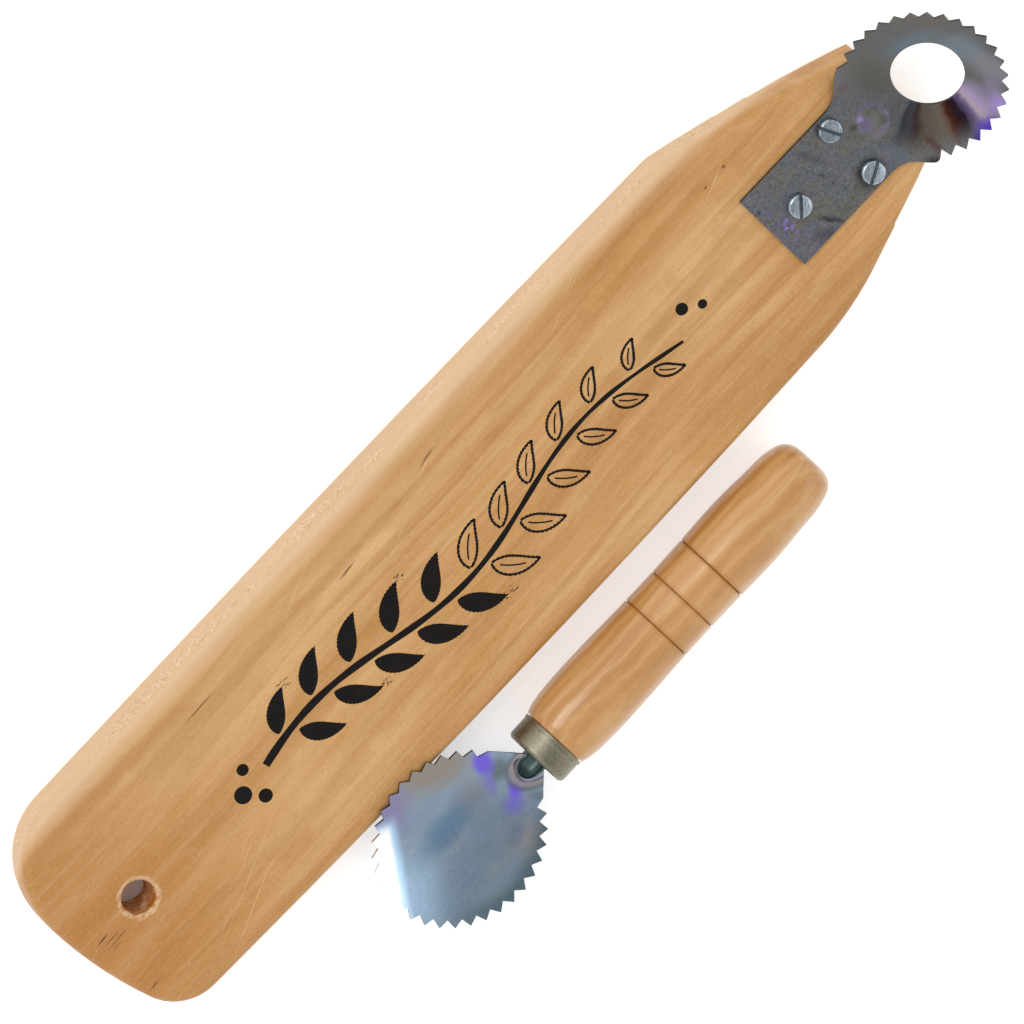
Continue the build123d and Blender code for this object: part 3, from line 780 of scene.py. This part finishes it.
def studio_paper():
    """Matt white paper, which glows a little where the camera or a mirror sees it.

    Under the hanging hole it lies in the plank's shadow, so it glows only away from there.
    """
    made, tree = material("studio_paper_matt_white")
    below = off_axis(tree, millimetres(tree), HOLE)
    shown = ray_is(tree, "Is Camera Ray", "Is Glossy Ray")
    surface(
        tree,
        {
            "Base Color": colour("F7F7F6"),
            "Roughness": 1.0,
            "Specular IOR Level": 0.0,
            "Emission Color": (1, 1, 1, 1),
            "Emission Strength": share(tree, shown, (below, 13.0, 18.0), FLOOR_GLOW),
        },
    )
    return made


def studio_floor():
    """One flat square under the object."""
    corners = [(-1, -1), (1, -1), (1, 1), (-1, 1)]
    corners = [(x * FLOOR_HALF, y * FLOOR_HALF, FLOOR_HEIGHT) for x, y in corners]
    mesh = bpy.data.meshes.new("studio_floor")
    mesh.from_pydata(corners, [], [(0, 1, 2, 3)])
    mesh.materials.append(studio_paper())
    floor = bpy.data.objects.new("studio_floor", mesh)
    bpy.context.scene.collection.objects.link(floor)


def surroundings():
    """White all round, dimmer as a light than as it is seen, with a darker ceiling for the mirror rays."""
    world = bpy.data.worlds.new("studio_surroundings")
    world.use_nodes = True
    tree = world.node_tree
    tree.nodes.clear()
    shown = ray_is(tree, "Is Camera Ray", "Is Glossy Ray", "Is Transmission Ray")
    aim = add(tree, "TexCoord").outputs["Generated"]
    height = add(tree, "SeparateXYZ", {"Vector": aim}).outputs["Z"]
    ceiling = share(tree, ray_is(tree, "Is Glossy Ray"), (height, 0.55, 0.95, 0.0, 0.42))
    bright = share(tree, (shown, 0.0, 1.0, 0.72, 1.0))
    strength = add(tree, "Math", {0: bright, 1: ceiling}, operation="SUBTRACT").outputs["Value"]
    light = add(tree, "Background", {"Color": (1, 1, 1, 1), "Strength": strength})
    add(tree, "OutputWorld", {"Surface": light.outputs["Background"]})
    bpy.context.scene.world = world


def lamp(name, place, size, power):
    """A square soft lamp at place, turned to the origin, in metres and watts."""
    made = bpy.data.lights.new(name, "AREA")
    made.shape, made.size, made.energy = "SQUARE", size, power
    piece = bpy.data.objects.new(name, made)
    piece.location = place
    piece.rotation_euler = (-Vector(place)).to_track_quat("-Z", "Y").to_euler()
    bpy.context.scene.collection.objects.link(piece)


studio_floor()
surroundings()
lamp("key_lamp", (-1.5, 4.0, 4.2), 2.6, 100.0)
lamp("fill_lamp", (3.0, -3.0, 4.0), 3.0, 24.0)


# Camera: along one fixed line of sight, and so far off that nothing looks nearer than the rest.

RIGHT = Vector((0.68835, -0.66266, 0.29504))
UP = Vector((0.72537, 0.62884, -0.27998))
BACK = Vector((0.0, 0.40674, 0.91355))
TARGET = Vector((0.00900, -0.00616, 0.012))
DISTANCE = 12.0
FRAME_WIDTH = 0.36864  # 1024 pixels of 0.36 mm
SENSOR_WIDTH = 36.0  # mm

camera_data = bpy.data.cameras.new("camera")
camera_data.sensor_width = SENSOR_WIDTH
camera_data.lens = SENSOR_WIDTH * DISTANCE / FRAME_WIDTH
camera_data.clip_start, camera_data.clip_end = 0.1, 60.0
camera = bpy.data.objects.new("camera", camera_data)
bpy.context.scene.collection.objects.link(camera)
turn = Matrix((RIGHT, UP, BACK)).transposed().to_4x4()
camera.matrix_world = Matrix.Translation(TARGET + BACK * DISTANCE) @ turn
bpy.context.scene.camera = camera
bpy.context.scene.view_settings.view_transform = "Standard"
